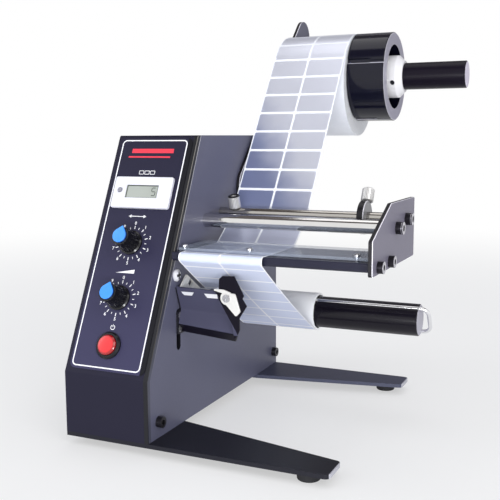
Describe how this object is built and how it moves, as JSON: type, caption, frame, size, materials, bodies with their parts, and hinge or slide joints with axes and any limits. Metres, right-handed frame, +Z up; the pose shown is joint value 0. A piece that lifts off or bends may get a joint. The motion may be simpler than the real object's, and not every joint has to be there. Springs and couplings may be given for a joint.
{
  "type": "label dispenser",
  "caption": "Bench label dispenser: sloped control box on long legs, label reel on an arm, guide rods, peel plate, sensing tray and motor-driven liner rewind shaft.",
  "frame": {"origin": "centre of the machine's footprint at floor level, under the middle of its bounding box", "axes": "+Z up, +X from the control box towards the free ends of the shafts, +Y from the control panel towards the reel at the back"},
  "size_m": [0.2284, 0.2985, 0.3175],
  "materials": {
    "side_steel": "fine textured powder coat",
    "shell_steel": "fine textured powder coat",
    "arm_steel": "satin powder coat",
    "leg_steel": "satin powder coat",
    "end_plate_paint": "satin powder coat",
    "screw_steel": "bright zinc plate",
    "black_screw": "black oxide",
    "foot_rubber": "matte",
    "overlay_film": "fine matte film with a white border line",
    "counter_white": "light gloss",
    "display_glass": "grey-green display",
    "reset_grey": "matte",
    "pot_metal": "plated",
    "pot_shaft_metal": "turned",
    "knob_black": "semi gloss, fluted",
    "cap_blue": "gloss",
    "switch_black": "semi gloss",
    "button_red": "translucent red",
    "shaft_black": "black anodised",
    "core_card": "wound card",
    "label_silver": "silver labels on white liner",
    "ring_black": "turned black plastic",
    "hub_white": "turned white nylon",
    "chrome_rod": "hard chrome",
    "collar_black": "black rim, grey faces",
    "thumb_steel": "knurled",
    "peel_black": "gloss black",
    "clear_acrylic": "clear polished",
    "liner_white": "glassine liner",
    "bush_brass": "sintered bush",
    "motor_steel": "zinc plate",
    "zinc_plate": "bright zinc plate",
    "tray_black": "satin black",
    "switch_case": "matte",
    "plunger_red": "matte",
    "board_green": "solder mask",
    "inlet_black": "matte"
  },
  "bodies": {
    "machine_frame": {"right_side_plate": "side_steel", "left_side_cover": "shell_steel", "panel_shell": "shell_steel", "rear_cover": "shell_steel", "base_plate": "shell_steel", "front_leg": "leg_steel", "rear_leg": "leg_steel", "leg_bolts": "black_screw", "rubber_feet": "foot_rubber", "side_plate_screws": "screw_steel", "cover_screws": "screw_steel", "panel_overlay": "overlay_film", "counter_housing": "counter_white", "counter_display": "display_glass", "potentiometers": "pot_metal", "power_switch": "switch_black", "reel_arm": "arm_steel", "reel_shaft": "shaft_black", "rear_guide_rod": "chrome_rod", "front_guide_rod": "chrome_rod", "end_plate": "end_plate_paint", "end_plate_screws": "screw_steel", "peel_plate": "peel_black", "presser_strip": "clear_acrylic", "presser_screws": "screw_steel", "label_web": "label_silver", "liner_return": "liner_white", "rewind_bearing": "bush_brass", "gear_motor": "motor_steel", "motor_screws": "black_screw", "control_board": "board_green", "power_inlet": "inlet_black"},
    "label_reel": {"label_roll": "label_silver", "roll_core": "core_card"},
    "roll_stop": {"roll_stop_ring": "ring_black", "roll_stop_hub": "hub_white", "stop_set_screw": "black_screw"},
    "liner_rewind": {"rewind_shaft": "shaft_black", "motor_output_shaft": "pot_shaft_metal", "liner_roll": "liner_white"},
    "liner_clip": {"rewind_clip": "chrome_rod"},
    "length_dial": {"length_pot_shaft": "pot_shaft_metal", "length_knob": "knob_black", "length_knob_cap": "cap_blue"},
    "speed_dial": {"speed_pot_shaft": "pot_shaft_metal", "speed_knob": "knob_black", "speed_knob_cap": "cap_blue"},
    "power_push_button": {"power_button": "button_red"},
    "counter_reset": {"counter_reset_button": "reset_grey"},
    "right_collar": {"right_guide_collar": "collar_black"},
    "right_collar_thumbscrew": {"right_thumbscrew": "thumb_steel"},
    "left_rod_thumbscrew": {"left_thumbscrew": "thumb_steel"},
    "sensor_carrier": {"sensor_bracket": "zinc_plate", "label_tray": "tray_black", "switch_plate": "zinc_plate", "micro_switch": "switch_case", "sensor_screws": "screw_steel"},
    "sensor_lever": {"sensing_lever": "zinc_plate"},
    "sensor_plunger": {"switch_plunger": "plunger_red"}
  },
  "joints": [
    {"name": "label_reel_turn", "type": "hinge", "parent": "machine_frame", "child": "label_reel", "pos_m": [-0.00795, 0.09375, 0.2556], "axis": [1, 0, 0], "continuous": true},
    {"name": "roll_stop_slide", "type": "slide", "parent": "machine_frame", "child": "roll_stop", "axis": [1, 0, 0], "range_m": [0, 0.05]},
    {"name": "liner_rewind_turn", "type": "hinge", "parent": "machine_frame", "child": "liner_rewind", "pos_m": [0.0282, -0.00425, 0.077], "axis": [1, 0, 0], "continuous": true},
    {"name": "liner_clip_pull", "type": "slide", "parent": "liner_rewind", "child": "liner_clip", "axis": [1, 0, 0], "range_m": [0, 0.12]},
    {"name": "length_dial_turn", "type": "hinge", "parent": "machine_frame", "child": "length_dial", "pos_m": [-0.081, -0.11552, 0.14139], "axis": [0, 0.9028, -0.4302], "range_deg": [-11, 313]},
    {"name": "speed_dial_turn", "type": "hinge", "parent": "machine_frame", "child": "speed_dial", "pos_m": [-0.081, -0.13294, 0.10483], "axis": [0, 0.9028, -0.4302], "range_deg": [-11, 313]},
    {"name": "power_button_press", "type": "slide", "parent": "machine_frame", "child": "power_push_button", "axis": [0, 0.9028, -0.4302], "range_m": [0, 0.0025], "stiffness_N_per_m": 400},
    {"name": "counter_reset_press", "type": "slide", "parent": "machine_frame", "child": "counter_reset", "axis": [0, 0.9028, -0.4302], "range_m": [0, 0.0008], "stiffness_N_per_m": 300},
    {"name": "right_collar_slide", "type": "slide", "parent": "machine_frame", "child": "right_collar", "axis": [1, 0, 0], "range_m": [-0.041, 0.022]},
    {"name": "right_thumbscrew_turn", "type": "hinge", "parent": "right_collar", "child": "right_collar_thumbscrew", "pos_m": [0.0677, -0.02847, 0.17021], "axis": [0, 0.4695, 0.8829], "range_deg": [0, 180]},
    {"name": "left_thumbscrew_turn", "type": "hinge", "parent": "machine_frame", "child": "left_rod_thumbscrew", "pos_m": [-0.0332, -0.03893, 0.16385], "axis": [0, -0.2756, 0.9613], "range_deg": [0, 180]},
    {"name": "sensor_height_slide", "type": "slide", "parent": "machine_frame", "child": "sensor_carrier", "axis": [0, 0, 1], "range_m": [-0.012, 0]},
    {"name": "sensor_lever_turn", "type": "hinge", "parent": "sensor_carrier", "child": "sensor_lever", "pos_m": [-0.0055, -0.11015, 0.1044], "axis": [0, 1, 0], "range_deg": [-5, 8], "stiffness_Nm_per_rad": 0.02},
    {"name": "switch_plunger_press", "type": "slide", "parent": "sensor_carrier", "child": "sensor_plunger", "axis": [0, 0, -1], "range_m": [0, 0.0008], "stiffness_N_per_m": 300}
  ]
}
